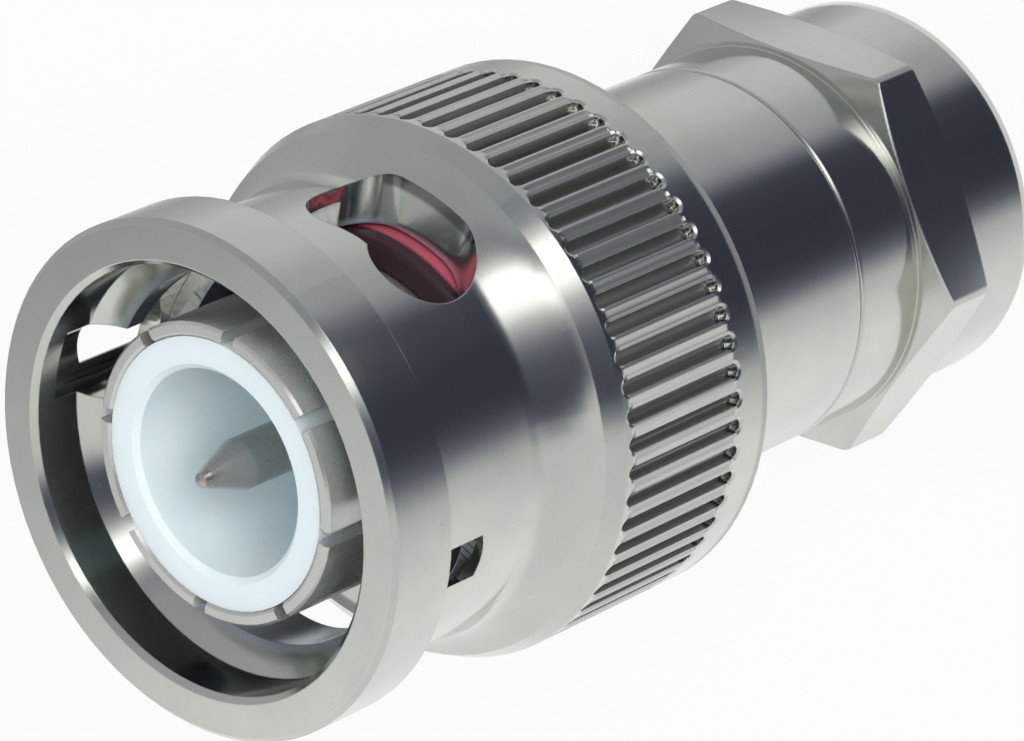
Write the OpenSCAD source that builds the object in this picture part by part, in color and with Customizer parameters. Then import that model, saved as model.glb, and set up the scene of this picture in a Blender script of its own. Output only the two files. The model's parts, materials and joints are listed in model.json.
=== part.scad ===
// BNC cable plug, clamp type: a bayonet coupling sleeve that turns and springs on a plug body,
// a slotted outer contact round a PTFE insulator and a centre pin, and a cable gland that a
// hex clamp nut closes. It stands on the rear face of the nut, mating end up, axis on Z.
// "Depth" below always means the distance behind the mating face.

/* [Overall] */
// Length from the mating face to the rear face of the clamp nut
overall_len = 27; // [26.5:0.1:30]
// Radial gap of parts that turn or slide in each other
running_gap = 0.05; // [0.03:0.01:0.08]
// Gap between faces that meet end to end
face_gap = 0.03; // [0.02:0.01:0.05]
// Small edge break on turned edges
edge_break = 0.15; // [0.05:0.05:0.2]

/* [Jack that the plug fits] */
// Diameter of the jack's barrel
jack_barrel_d = 9.6; // [9.5:0.05:9.7]
// Diameter over the jack's two bayonet lugs
lug_span_d = 11.05; // [11:0.05:11.1]
// Diameter of one bayonet lug
lug_d = 1.98; // [1.9:0.01:2]

/* [Coupling sleeve] */
// Radial gap between the jack's barrel and the sleeve
barrel_gap = 0.125; // [0.1:0.005:0.15]
// Radial gap between the jack's lugs and the front lip
lip_gap = 0.075; // [0.05:0.005:0.15]
// Wall of the front lip
lip_wall = 1.2; // [1:0.05:1.4]
// Length of the front lip
lip_len = 2; // [1.8:0.1:2.2]
// Depth of the front lip's bore
lip_bore_len = 1.5; // [1.2:0.1:1.7]
// Depth at which the neck begins to flare into the shoulder
flare_depth = 5.8; // [5.6:0.1:6]
// Radius of the flare
flare_r = 1.87; // [1.7:0.01:2]
// Height of the bevel between the shoulder and the knurled band
bevel_rise = 0.25; // [0.15:0.01:0.35]
// Length of that bevel
bevel_len = 0.57; // [0.4:0.01:0.8]
// Wall of the sleeve outside the retaining ring's groove
outer_wall = 0.6; // [0.5:0.05:0.9]
// Plain band between the knurl and the sleeve's rear end
rear_band = 1.5; // [1.2:0.1:1.8]
// Number of knurl grooves
knurl_count = 60; // [48:1:66]
// Width of one knurl groove
groove_w = 0.38; // [0.3:0.01:0.42]
// Depth of one knurl groove
groove_cut = 0.28; // [0.2:0.01:0.35]
// Plain land between the bevel and the grooves
front_land = 0.15; // [0.05:0.05:0.3]
// Width of the slope on each side of a ridge's crown
crown_w = 0.1; // [0.06:0.01:0.12]
// How far that slope falls
crown_fall = 0.04; // [0.02:0.005:0.05]
// Length of the sleeve behind the retaining ring's groove
tail_len = 1.02; // [0.8:0.02:1.4]
// Chamfer round the sleeve's rear end
tail_chamfer = 0.45; // [0.3:0.05:0.6]
// Angle that the sleeve stands turned to
sleeve_turn = 4; // [-180:1:180]

/* [Bayonet track] */
// Clearance on each side of a lug
lug_gap = 0.11; // [0.08:0.01:0.14]
// Radial gap between a lug and the floor of the hidden cam ramp
ramp_gap = 0.095; // [0.08:0.005:0.15]
// Wall of the neck over that ramp
ramp_wall = 0.43; // [0.4:0.01:0.6]
// How far the centre of the round entry cutter runs inside the neck's surface
entry_inset = 0.95; // [0.9:0.01:1.05]
// Depth of a lug's centre at the foot of the entry
entry_depth = 3.6; // [3.4:0.1:3.7]
// Depth at which the entry cutter's point begins
entry_floor_depth = 4.05; // [3.9:0.05:4.1]
// Turn from the entry to the lock
track_sweep = 105; // [95:1:110]
// Depth of the ramp's front wall at its crest
crest_depth = 4.15; // [4:0.05:4.3]
// Share of the sweep at which the crest lies
crest_share = 0.88; // [0.85:0.01:0.9]
// How far the lock dips forward of the crest
lock_dip = 0.45; // [0.3:0.05:0.5]
// Diameter of the round window at the lock
lock_hole_d = 2.7; // [2.5:0.1:2.8]
// Turn covered by the open window in front of the lock
window_sweep = 34.4; // [30:0.1:36]
// Wall between the window and the sleeve's inner ledge
window_wall = 0.5; // [0.4:0.05:0.8]
// Corner radius at the window's closed end
window_corner = 1.2; // [0.8:0.05:1.3]

/* [Spring and retaining ring] */
// Depth of the inner ledge that stops against the body flange
ledge_depth = 7.35; // [7.3:0.05:7.5]
// How far the sleeve can be drawn forward against the spring
sleeve_travel = 0.8; // [0.5:0.1:0.9]
// Travel that the wave washers still have when the sleeve is drawn right forward
wave_reserve = 0.9; // [0.7:0.05:1]
// Thickness of the wave washers
wave_t = 0.25; // [0.2:0.05:0.3]
// Waves round one washer
wave_count = 3; // [3:1:4]
// Thickness of the thrust washer
thrust_t = 0.4; // [0.3:0.05:0.5]
// Thickness of the retaining ring
ring_t = 0.55; // [0.5:0.05:0.6]
// How far the retaining ring reaches into its groove
ring_grip = 0.4; // [0.3:0.05:0.5]
// Width of the gap in the retaining ring
ring_split = 2.4; // [1.5:0.1:4]

/* [Plug body] */
// Wall of the body outside its rear thread
body_wall = 0.75; // [0.6:0.05:0.8]
// Depth of the joint between the body and the clamp nut
joint_depth = 19.75; // [19.2:0.05:20]
// How far the body's flange stands out
flange_rise = 0.8; // [0.7:0.05:0.85]
// Thickness of the flange
flange_t = 2.2; // [2:0.1:2.3]
// Step from the contact's seat to the bore that holds the insulators and the gland
stack_step = 0.15; // [0.13:0.01:0.2]
// Step from that bore to the core of the body's rear thread
thread_step = 0.43; // [0.35:0.01:0.5]

/* [Outer contact] */
// Outside diameter of the slotted contact
contact_d = 7.94; // [7.9:0.01:8]
// Wall of the slotted contact
contact_wall = 0.37; // [0.32:0.01:0.42]
// Depth of the contact's front rim
contact_depth = 0.7; // [0.5:0.05:0.9]
// Depth of the contact's rear end
contact_rear_depth = 9.8; // [9.6:0.1:9.9]
// Number of spring fingers
finger_count = 8; // [6:1:8]
// Width of the slots between fingers
slot_w = 0.4; // [0.3:0.05:0.5]
// Length of the slots
slot_len = 5.2; // [4.5:0.1:5.3]
// Angle that the contact stands turned to
finger_turn = 25; // [0:1:45]

/* [Gasket] */
// Radial width of the mating gasket
gasket_w = 0.87; // [0.8:0.01:0.9]
// Length of the mating gasket
gasket_len = 1.2; // [1:0.05:1.25]

/* [Insulators and pin] */
// Wall of the front insulator round the pin's bore
mouth_wall = 0.88; // [0.7:0.01:1.1]
// Depth of the floor of that bore
floor_depth = 5.9; // [5.5:0.1:6.2]
// Thickness of the front insulator's rear flange
front_flange_t = 1.4; // [1.2:0.1:1.5]
// Thickness of the rear insulator
rear_insulator_t = 1.5; // [1.3:0.1:1.6]
// Diameter of the centre pin
pin_d = 1.35; // [1.32:0.01:1.37]
// Depth of the pin's tip
pin_depth = 0.2; // [0.1:0.05:0.4]
// Length of the pin's pointed nose
nose_len = 1.4; // [1:0.1:1.6]
// Diameter of the pin's rear shank
shank_d = 2; // [1.8:0.1:2.2]
// Diameter of the pin's collar
collar_d = 2.6; // [2.4:0.1:2.8]
// Thickness of the pin's collar
collar_t = 0.5; // [0.4:0.05:0.6]
// Length of the pin's solder cup behind the rear insulator
cup_len = 1.24; // [1:0.02:1.4]
// Bore of that cup, for the cable's inner wire
cup_d = 1.1; // [0.9:0.1:1.2]

/* [Cable gland] */
// Bore for the cable, through the gasket, washer and nut
cable_bore_d = 5.5; // [5.3:0.1:5.6]
// Thickness of the braid clamp's disc
clamp_disc_t = 0.6; // [0.5:0.1:0.7]
// Length of the braid clamp's cone
clamp_cone_len = 0.9; // [0.7:0.1:1]
// Bore of the braid clamp
clamp_bore_d = 3.8; // [3.6:0.1:4]
// Thickness of the gland washer
gland_washer_t = 0.4; // [0.3:0.05:0.5]
// Length of the nut's threaded nose
nose_thread_len = 2.9; // [2.6:0.1:3]

/* [Clamp nut] */
// Length of the nut's front collar, which is as wide as the body
front_collar_len = 2.35; // [2:0.05:2.6]
// How far the hexagon's flats stand out of the front collar
hex_rise = 0.2; // [0.15:0.05:0.3]
// How far the hexagon's corners are turned down
corner_cut = 0.05; // [0.02:0.01:0.15]
// Length of the hexagon
hex_len = 2.1; // [1.8:0.1:2.8]
// Length of the corner chamfers
hex_chamfer = 0.32; // [0.2:0.02:0.6]
// How far the hexagon's flats stand out of the rear collar
rear_step = 0.15; // [0.1:0.05:0.3]
// Bevel round the rear face
rear_bevel = 0.3; // [0.2:0.05:0.4]
// Angle that the nut stands turned to
nut_turn = 0; // [0:1:60]

/* [Hidden] */
$fn = 96;
small = 0.01;
beyond = 1;
nickel = [0.80, 0.81, 0.79];
dark_nickel = [0.70, 0.71, 0.70];
gold = [0.72, 0.68, 0.62];
spring_steel = [0.62, 0.63, 0.65];
ptfe = [0.93, 0.95, 0.97];
silicone_red = [0.72, 0.16, 0.20];
black_rubber = [0.09, 0.09, 0.10];

// Height of a point that lies a given depth behind the mating face
function at(depth) = overall_len - depth;
// Outline points given as [radius, depth], turned into [radius, height]
function turned(points) = [for (p = points) [p[0], at(p[1])]];

// Radii and diameters, from the contact outwards. What fits in a piece follows that piece.
contact_r = contact_d / 2;
contact_bore_r = contact_r - contact_wall;
contact_seat_r = contact_r - 0.05;
contact_shank_r = contact_r + stack_step - 0.03;
stack_bore_r = contact_r + stack_step;
stack_r = stack_bore_r - 0.02;
thread_bore_r = stack_bore_r + thread_step;
nut_nose_r = thread_bore_r - running_gap;
body_r = thread_bore_r + body_wall;
flange_r = body_r + flange_rise;
clearance_r = body_r + 3 * running_gap;
cavity_r = flange_r + 2 * running_gap;
ring_r = cavity_r + ring_grip;
ring_groove_r = ring_r + running_gap;
knurl_r = ring_groove_r + outer_wall;
shoulder_r = knurl_r - bevel_rise;
gasket_bore_r = contact_seat_r + 0.03;
hex_af = 2 * (body_r + hex_rise);
hex_corner_r = hex_af / 2 / cos(30) - corner_cut;
hex_low_r = hex_af / 2 - edge_break / 3;
rear_collar_r = hex_af / 2 - rear_step;
cable_r = cable_bore_d / 2;
cone_top_r = stack_r - edge_break;
cone_end_r = cable_r + edge_break;
mouth_r = contact_bore_r - mouth_wall;
shank_hole_r = shank_d / 2 + 0.02;

// Radii of the sleeve's front, which follow the jack
barrel_bore_r = jack_barrel_d / 2 + barrel_gap;
lip_bore_r = lug_span_d / 2 + lip_gap;
lip_r = lip_bore_r + lip_wall;
ramp_floor_r = lug_span_d / 2 + ramp_gap;
neck_r = ramp_floor_r + ramp_wall;

// Places along the axis, each worked out from the piece in front of it
shoulder_rise = shoulder_r - neck_r;
shoulder_depth = flare_depth + sqrt(flare_r ^ 2 - (flare_r - shoulder_rise) ^ 2);
band_depth = shoulder_depth + bevel_len;
flange_front = ledge_depth + face_gap;
gasket_front = flange_front - gasket_len;
flange_rear = flange_front + flange_t;
wave_start = flange_rear + face_gap;
wave_h = wave_t + (sleeve_travel + wave_reserve) / 2;
thrust_front = wave_start + 2 * wave_h + 2 * face_gap;
ring_front = thrust_front + thrust_t + face_gap;
ring_rear = ring_front + ring_t;
sleeve_len = ring_rear + face_gap + tail_len;
knurl_end_depth = sleeve_len - rear_band;
shank_front = flange_front + 0.5;
front_insulator_rear = contact_rear_depth + face_gap + front_flange_t;
rear_insulator_front = front_insulator_rear + face_gap;
rear_insulator_rear = rear_insulator_front + rear_insulator_t;
pin_rear_depth = rear_insulator_rear + cup_len;
clamp_front = rear_insulator_rear + face_gap;
cone_front = clamp_front + clamp_disc_t;
cone_rear = cone_front + clamp_cone_len;
nose_front = joint_depth - nose_thread_len;
gland_washer_front = nose_front - face_gap - gland_washer_t;
gland_gasket_rear = gland_washer_front - face_gap;
collar_front = joint_depth + face_gap;
hex_front = collar_front + front_collar_len;
hex_rear = hex_front + hex_len;

// The bayonet track's walls
cutter_r = lug_d / 2 + lug_gap;
lock_r = lock_hole_d / 2;
lock_depth = crest_depth - lock_dip + lock_r;
window_rear_depth = ledge_depth - window_wall;
lock_corner = window_rear_depth - lock_depth;
window_end_turn = window_sweep - window_corner / neck_r * 180 / PI;

// Solid of revolution of a closed outline of [radius, depth] points
module turn(points) {
    rotate_extrude() polygon(turned(points));
}

// Flat ring between two depths
module ring(outer_r, inner_r, front, rear) {
    turn([[inner_r, front], [outer_r, front], [outer_r, rear], [inner_r, rear]]);
}

// ---- Coupling sleeve --------------------------------------------------------------------

// Outside of the sleeve: lip, neck that flares into the shoulder, knurled band, rear chamfer
module sleeve_blank() {
    difference() {
        turn([[0, 0], [lip_r - edge_break, 0], [lip_r, edge_break], [lip_r, lip_len],
              [neck_r, lip_len], [neck_r, flare_depth],
              [shoulder_r, flare_depth], [shoulder_r, shoulder_depth],
              [knurl_r, band_depth], [knurl_r, sleeve_len - tail_chamfer],
              [knurl_r - tail_chamfer, sleeve_len], [0, sleeve_len]]);
        rotate_extrude() translate([neck_r + flare_r, at(flare_depth)]) circle(r = flare_r);
    }
}

// Inside of the sleeve: lip bore, lead-in cone, barrel bore, ledge, spring cavity, ring groove
module sleeve_bore() {
    lead_in = lip_bore_r - barrel_bore_r;
    turn([[0, -beyond], [lip_bore_r + edge_break, -beyond], [lip_bore_r + edge_break, 0],
          [lip_bore_r, edge_break], [lip_bore_r, lip_bore_len],
          [barrel_bore_r, lip_bore_len + lead_in], [barrel_bore_r, ledge_depth],
          [cavity_r, ledge_depth], [cavity_r, ring_front - small],
          [ring_groove_r, ring_front - small], [ring_groove_r, ring_rear + face_gap],
          [cavity_r, ring_rear + face_gap], [cavity_r, sleeve_len - edge_break],
          [cavity_r + edge_break, sleeve_len], [cavity_r + edge_break, sleeve_len + beyond],
          [0, sleeve_len + beyond]]);
}

// One knurl groove on the +X side: a milled slot with round ends. The cutter widens where it
// leaves the metal, so that two neighbouring grooves leave a crowned ridge between them.
module knurl_groove() {
    half_w = groove_w / 2;
    front = band_depth + front_land + half_w;
    run = knurl_end_depth - half_w - front;
    over = small / crown_fall * crown_w;
    side = [[half_w, 0], [half_w, groove_cut - crown_fall],
            [half_w + crown_w + over, groove_cut + small]];
    translate([knurl_r - groove_cut, 0, at(front + run)]) rotate([0, 90, 0]) {
        for (x = [-run, 0]) translate([x, 0, 0])
            rotate_extrude($fn = 16) polygon(concat([[0, 0]], side, [[0, side[2][1]]]));
        rotate([90, 0, -90]) linear_extrude(run)
            polygon(concat(side, [for (i = [2:-1:0]) [-side[i][0], side[i][1]]]));
    }
}

// Depth of the cam's front wall at a share of the sweep: a steady ramp up to the crest
function cam_front(share) =
    let (start = entry_depth - cutter_r)
    start + (crest_depth - start) * min(1, share / crest_share);
// Depth of the rear wall: one lug behind the front wall in the ramp
function ramp_rear(share) = cam_front(share) + 2 * cutter_r;

// Cutter that follows the cam between two turns from the lock. Each station is a rectangle
// between two radii, with the cam in front and a level wall or one lug's width behind it;
// triangles join the stations.
module cam_cutter(from_turn, to_turn, inner_r, outer_r, level) {
    steps = ceil((from_turn - to_turn) / 3);
    stations = [for (i = [0:steps])
        let (turn = from_turn + (to_turn - from_turn) * i / steps,
             share = 1 - turn / track_sweep,
             front = at(cam_front(share)),
             rear = at(level ? window_rear_depth : ramp_rear(share)))
        for (corner = [[inner_r, rear], [outer_r, rear], [outer_r, front], [inner_r, front]])
            [corner[0] * cos(turn), corner[0] * sin(turn), corner[1]]];
    last = 4 * steps;
    walls = [for (i = [0:steps - 1], k = [0:3])
        let (a = 4 * i + k, b = 4 * i + (k + 1) % 4)
        each [[a, b + 4, b], [a, a + 4, b + 4]]];
    ends = [[0, 1, 2], [0, 2, 3], [last, last + 2, last + 1], [last, last + 3, last + 2]];
    polyhedron(points = stations, faces = concat(walls, ends));
}

// Straight cut from outside through the neck; its outline is drawn as [depth, sideways]
module neck_cut(turn, depth) {
    rotate([0, 0, turn]) translate([barrel_bore_r - beyond, 0, at(depth)])
        rotate([0, 90, 0]) linear_extrude(3 * beyond) children();
}

// Outline of the lock: a round hole, and behind it a wider curve that meets the rear wall
module lock_outline() {
    circle(r = lock_r);
    intersection() {
        translate([0, lock_corner - lock_r]) circle(r = lock_corner);
        translate([0, -lock_r]) square([lock_corner, 2 * lock_corner]);
    }
}

// Outline of the window's closed end: two round corners, joined
module window_end_outline() {
    front = cam_front(1 - window_end_turn / track_sweep);
    corner_gap = window_rear_depth - front - 2 * window_corner;
    for (x = [0, corner_gap]) translate([x, 0]) circle(r = window_corner);
    translate([0, -window_corner]) square([corner_gap, 2 * window_corner]);
}

// One bayonet track: an entry cut by a pointed round cutter, which just breaks through the neck
// at a small lens, a hidden ramp, then a window right through the neck that ends in a round lock
module bayonet_track() {
    point_len = cutter_r * tan(30);
    rotate([0, 0, track_sweep]) translate([neck_r - entry_inset, 0, 0]) rotate_extrude()
        polygon([[0, at(entry_floor_depth) - point_len], [cutter_r, at(entry_floor_depth)],
                 [cutter_r, at(lip_bore_len / 2)], [0, at(lip_bore_len / 2)]]);
    cam_cutter(track_sweep, 0, barrel_bore_r - beyond, ramp_floor_r, false);
    lock_reach = (lock_corner - lock_r) / neck_r * 180 / PI;
    cam_cutter(window_end_turn, lock_reach, barrel_bore_r - beyond / 2, knurl_r, true);
    neck_cut(0, lock_depth) lock_outline();
    neck_cut(window_end_turn, cam_front(1 - window_end_turn / track_sweep) + window_corner)
        window_end_outline();
}

module coupling_sleeve() {
    color(nickel) rotate([0, 0, sleeve_turn]) difference() {
        sleeve_blank();
        sleeve_bore();
        for (i = [0:knurl_count - 1]) rotate([0, 0, (i + 0.5) * 360 / knurl_count]) knurl_groove();
        for (side = [0, 180]) rotate([0, 0, side]) bayonet_track();
    }
}

// Split ring, sprung into the groove near the sleeve's rear end
module retaining_ring() {
    color(spring_steel) rotate([0, 0, sleeve_turn]) difference() {
        ring(ring_r, clearance_r, ring_front + small, ring_rear);
        translate([-2 * ring_r, -ring_split / 2, at(ring_rear) - beyond])
            cube([2 * ring_r, ring_split, ring_t + 2 * beyond]);
    }
}

// ---- Spring -----------------------------------------------------------------------------

module thrust_washer() {
    color(spring_steel) ring(flange_r, clearance_r, thrust_front, thrust_front + thrust_t);
}

// A flat strip bent into waves round the axis, with its lowest and highest points wave_h apart
module wave_washer(front, phase) {
    steps = 24 * wave_count;
    swing = (wave_h - wave_t) / 2;
    middle = at(front + wave_h / 2);
    stations = [for (i = [0:steps - 1])
        let (turn = 360 * i / steps, lift = middle + swing * cos(wave_count * turn + phase))
        for (corner = [[clearance_r, -1], [flange_r, -1], [flange_r, 1], [clearance_r, 1]])
            [corner[0] * cos(turn), corner[0] * sin(turn), lift + corner[1] * wave_t / 2]];
    faces = [for (i = [0:steps - 1], k = [0:3])
        let (next = 4 * ((i + 1) % steps),
             a = 4 * i + k, b = 4 * i + (k + 1) % 4,
             c = next + (k + 1) % 4, d = next + k)
        each [[a, b, c], [a, c, d]]];
    polyhedron(points = stations, faces = faces);
}

// Two wave washers crest to crest
module wave_washers() {
    color(spring_steel) {
        wave_washer(wave_start, 0);
        wave_washer(wave_start + wave_h + face_gap, 180);
    }
}

// ---- Plug body --------------------------------------------------------------------------

module plug_body() {
    color(nickel) turn([
        [contact_seat_r + 2 * small, flange_front], [flange_r, flange_front],
        [flange_r, flange_rear], [body_r, flange_rear],
        [body_r, joint_depth - edge_break / 2], [body_r - edge_break / 2, joint_depth],
        [thread_bore_r + edge_break, joint_depth], [thread_bore_r, joint_depth - edge_break],
        [thread_bore_r, nose_front - 2 * face_gap], [stack_bore_r, nose_front - 2 * face_gap],
        [stack_bore_r, contact_rear_depth], [contact_shank_r, contact_rear_depth],
        [contact_shank_r, shank_front], [contact_seat_r + 2 * small, shank_front]]);
}

module outer_contact() {
    rim = edge_break / 2;
    color(nickel) rotate([0, 0, finger_turn]) difference() {
        turn([[contact_bore_r + rim, contact_depth], [contact_r - rim, contact_depth],
              [contact_r, contact_depth + rim], [contact_r, gasket_front],
              [contact_seat_r, gasket_front], [contact_seat_r, shank_front],
              [contact_shank_r, shank_front], [contact_shank_r, contact_rear_depth],
              [contact_bore_r, contact_rear_depth], [contact_bore_r, contact_depth + rim]]);
        for (i = [0:finger_count - 1]) rotate([0, 0, i * 360 / finger_count])
            translate([0, -slot_w / 2, at(contact_depth + slot_len)])
                cube([contact_d, slot_w, slot_len + beyond]);
    }
}

module mating_gasket() {
    color(silicone_red)
        ring(gasket_bore_r + gasket_w, gasket_bore_r, gasket_front + face_gap, flange_front - small);
}

// ---- Insulators and centre pin ----------------------------------------------------------

module front_insulator() {
    front = contact_depth + edge_break / 3;
    wall_r = contact_bore_r - 0.02;
    color(ptfe) turn([
        [mouth_r + edge_break, front], [wall_r, front], [wall_r, contact_rear_depth + face_gap],
        [stack_r, contact_rear_depth + face_gap], [stack_r, front_insulator_rear],
        [shank_hole_r, front_insulator_rear], [shank_hole_r, floor_depth], [mouth_r, floor_depth],
        [mouth_r, front + edge_break]]);
}

module rear_insulator() {
    color(ptfe) turn([
        [collar_d / 2 + 0.03, rear_insulator_front], [stack_r, rear_insulator_front],
        [stack_r, rear_insulator_rear], [shank_hole_r, rear_insulator_rear],
        [shank_hole_r, rear_insulator_front + collar_t + face_gap],
        [collar_d / 2 + 0.03, rear_insulator_front + collar_t + face_gap]]);
}

// Pointed pin, a shank through both insulators with a collar held between them, a solder cup
module centre_pin() {
    tip_r = pin_d / 5;
    color(gold) difference() {
        turn([[0, pin_depth], [tip_r * 0.7, pin_depth + tip_r * 0.3], [tip_r, pin_depth + tip_r],
              [pin_d / 2, pin_depth + nose_len], [pin_d / 2, floor_depth - face_gap],
              [shank_d / 2 - running_gap, floor_depth - face_gap],
              [shank_d / 2, floor_depth], [shank_d / 2, rear_insulator_front],
              [collar_d / 2, rear_insulator_front],
              [collar_d / 2, rear_insulator_front + collar_t],
              [shank_d / 2, rear_insulator_front + collar_t], [shank_d / 2, pin_rear_depth],
              [cup_d / 2, pin_rear_depth], [cup_d / 2, rear_insulator_rear + small],
              [0, rear_insulator_rear - cup_d / 2]]);
        translate([0, 0, at(clamp_front + clamp_disc_t / 2)]) rotate([0, 90, 0])
            cylinder(d = cup_d / 2, h = shank_d, $fn = 24);
    }
}

// ---- Cable gland ------------------------------------------------------------------------

module braid_clamp() {
    color(dark_nickel) turn([
        [clamp_bore_d / 2, clamp_front], [stack_r, clamp_front], [stack_r, cone_front],
        [cone_top_r, cone_front], [cone_end_r, cone_rear], [clamp_bore_d / 2, cone_rear]]);
}

module cable_gasket() {
    color(black_rubber) turn([
        [stack_r, cone_front + 2 * face_gap], [stack_r, gland_gasket_rear],
        [cable_r, gland_gasket_rear], [cable_r, cone_rear + face_gap],
        [cone_end_r, cone_rear + face_gap], [cone_top_r, cone_front + 2 * face_gap]]);
}

module gland_washer() {
    color(dark_nickel)
        ring(stack_r - 2 * small, cable_r, gland_washer_front, gland_washer_front + gland_washer_t);
}

// ---- Clamp nut --------------------------------------------------------------------------

// Hexagon with its corners turned down and chamfered on both sides
module hexagon() {
    intersection() {
        translate([0, 0, at(hex_rear)]) cylinder(d = hex_af / cos(30), h = hex_len, $fn = 6);
        turn([[0, hex_front], [hex_low_r, hex_front], [hex_corner_r, hex_front + hex_chamfer],
              [hex_corner_r, hex_rear - hex_chamfer], [hex_low_r, hex_rear], [0, hex_rear]]);
    }
}

module clamp_nut() {
    color(nickel) rotate([0, 0, nut_turn]) difference() {
        union() {
            turn([[0, nose_front], [nut_nose_r - edge_break, nose_front],
                  [nut_nose_r, nose_front + edge_break], [nut_nose_r, collar_front],
                  [body_r - edge_break / 2, collar_front], [body_r, collar_front + edge_break / 2],
                  [body_r, hex_front + small], [0, hex_front + small]]);
            hexagon();
            turn([[0, hex_rear - small], [rear_collar_r, hex_rear - small],
                  [rear_collar_r, overall_len - rear_bevel],
                  [rear_collar_r - rear_bevel, overall_len], [0, overall_len]]);
        }
        turn([[0, nose_front - beyond], [cable_r, nose_front - beyond],
              [cable_r, overall_len - edge_break], [cable_r + edge_break, overall_len],
              [cable_r + edge_break, overall_len + beyond], [0, overall_len + beyond]]);
    }
}

coupling_sleeve();
retaining_ring();
thrust_washer();
wave_washers();
plug_body();
outer_contact();
mating_gasket();
front_insulator();
rear_insulator();
centre_pin();
braid_clamp();
cable_gasket();
gland_washer();
clamp_nut();
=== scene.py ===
# %% [markdown]
# # A BNC cable plug, dressed for the camera
# The plug is a small turned fitting, 27 mm long: a bayonet sleeve that turns on a plug body, with
# a slotted contact, a white insulator and a pin inside it, and a hexagonal clamp nut at the cable
# end. The exact solids come from the CAD model as a frame. This script gives them their metal,
# plastic and rubber, builds the details that are finer than the solids, and sets the stage.

import json
import math

import bpy
import numpy as np
from mathutils import Matrix, Vector


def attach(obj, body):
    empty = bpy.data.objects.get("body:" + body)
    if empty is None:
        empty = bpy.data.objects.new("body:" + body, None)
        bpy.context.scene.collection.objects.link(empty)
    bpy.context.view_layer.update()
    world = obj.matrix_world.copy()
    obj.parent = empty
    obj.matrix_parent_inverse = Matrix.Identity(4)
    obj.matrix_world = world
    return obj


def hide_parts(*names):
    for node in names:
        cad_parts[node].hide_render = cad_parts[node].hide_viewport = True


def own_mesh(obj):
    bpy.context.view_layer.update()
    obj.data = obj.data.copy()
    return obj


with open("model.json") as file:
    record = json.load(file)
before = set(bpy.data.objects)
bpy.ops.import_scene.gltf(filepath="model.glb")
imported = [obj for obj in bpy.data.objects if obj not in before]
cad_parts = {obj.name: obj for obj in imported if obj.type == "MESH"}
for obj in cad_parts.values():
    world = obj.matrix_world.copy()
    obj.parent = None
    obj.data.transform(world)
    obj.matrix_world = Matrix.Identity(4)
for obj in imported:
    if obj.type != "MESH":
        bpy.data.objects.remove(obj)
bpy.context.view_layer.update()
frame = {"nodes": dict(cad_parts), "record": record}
nodes = frame["nodes"]
MM = 0.001
LENGTH = 27.0
print("nodes:", ", ".join(sorted(nodes)))

# %% [markdown]
# ## Where the camera stands
# The plug stands upright on its nut, and the camera looks down at it from the front left and is
# rolled on its side, so that in the picture the plug lies on a slant with its open end towards us.
# A long lens from 156 mm away keeps the turned circles close to true ellipses. The camera is placed
# by two angles and a roll, because these are what a photographer would change.

# %% Camera
CAMERA_TARGET = Vector((-0.24, -0.55, 15.535)) * MM
CAMERA_DISTANCE = 155.54 * MM
CAMERA_AZIMUTH = math.radians(-23.70)
CAMERA_ELEVATION = math.radians(43.45)
CAMERA_ROLL = math.radians(-113.70)
CAMERA_LENS_MM = 210.76


def towards(azimuth, elevation):
    """Unit vector along an azimuth a, counted from +X, and an elevation e above the floor:
    (cos e cos a, cos e sin a, sin e)."""
    return Vector((math.cos(elevation) * math.cos(azimuth),
                   math.cos(elevation) * math.sin(azimuth), math.sin(elevation)))


def turned_to(back, roll=0.0):
    """Axes of a camera or lamp whose back points along `back`: level, then rolled about it."""
    level = Vector((0, 0, 1)).cross(back).normalized()
    upright = back.cross(level)
    right = math.cos(roll) * level + math.sin(roll) * upright
    return Matrix((right, back.cross(right), back)).transposed().to_4x4()


back = towards(CAMERA_AZIMUTH, CAMERA_ELEVATION)
camera_data = bpy.data.cameras.new("camera")
camera_data.lens = CAMERA_LENS_MM
camera_data.sensor_width = 36.0
camera_data.clip_start = 10 * MM
camera_data.clip_end = 5.0
camera = bpy.data.objects.new("camera", camera_data)
camera.matrix_world = (Matrix.Translation(CAMERA_TARGET + back * CAMERA_DISTANCE)
                       @ turned_to(back, CAMERA_ROLL))
bpy.context.scene.collection.objects.link(camera)
bpy.context.scene.camera = camera
bpy.context.scene.view_settings.view_transform = "Standard"
print("camera at", [round(c / MM, 1) for c in camera.matrix_world.translation], "mm")

# %% [markdown]
# ## Small tools for building materials
# A material in Blender is a graph of nodes. The helpers below make one node at a time, set its
# values and join it to what feeds it, so that a whole graph reads as a list of sentences. An effect
# that several finishes share is a node group, made once and placed in each with its own numbers.

# %% Node helpers


def add_node(tree, kind, inputs=None, **settings):
    """One node of that kind. Each entry of inputs is a plain value, or a socket to join to it.
    Settings come first, because some of them decide which inputs the node has."""
    node = tree.nodes.new(kind)
    for name, value in settings.items():
        setattr(node, name, value)
    for name, value in (inputs or {}).items():
        socket = node.inputs[name]
        if isinstance(value, bpy.types.NodeSocket):
            tree.links.new(value, socket)
        else:
            socket.default_value = value
    return node


def calculate(tree, operation, *values):
    """The output of one Math node that works on the values or sockets given."""
    return add_node(tree, "ShaderNodeMath", dict(enumerate(values)), operation=operation).outputs[0]


def blend_colours(tree, mask, low, high):
    """A colour that goes from low to high as the mask goes from 0 to 1. Inputs 6 and 7 and
    output 2 are the Mix node's colours."""
    node = add_node(tree, "ShaderNodeMix", {0: mask, 6: low, 7: high}, data_type="RGBA")
    return node.outputs[2]


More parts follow.
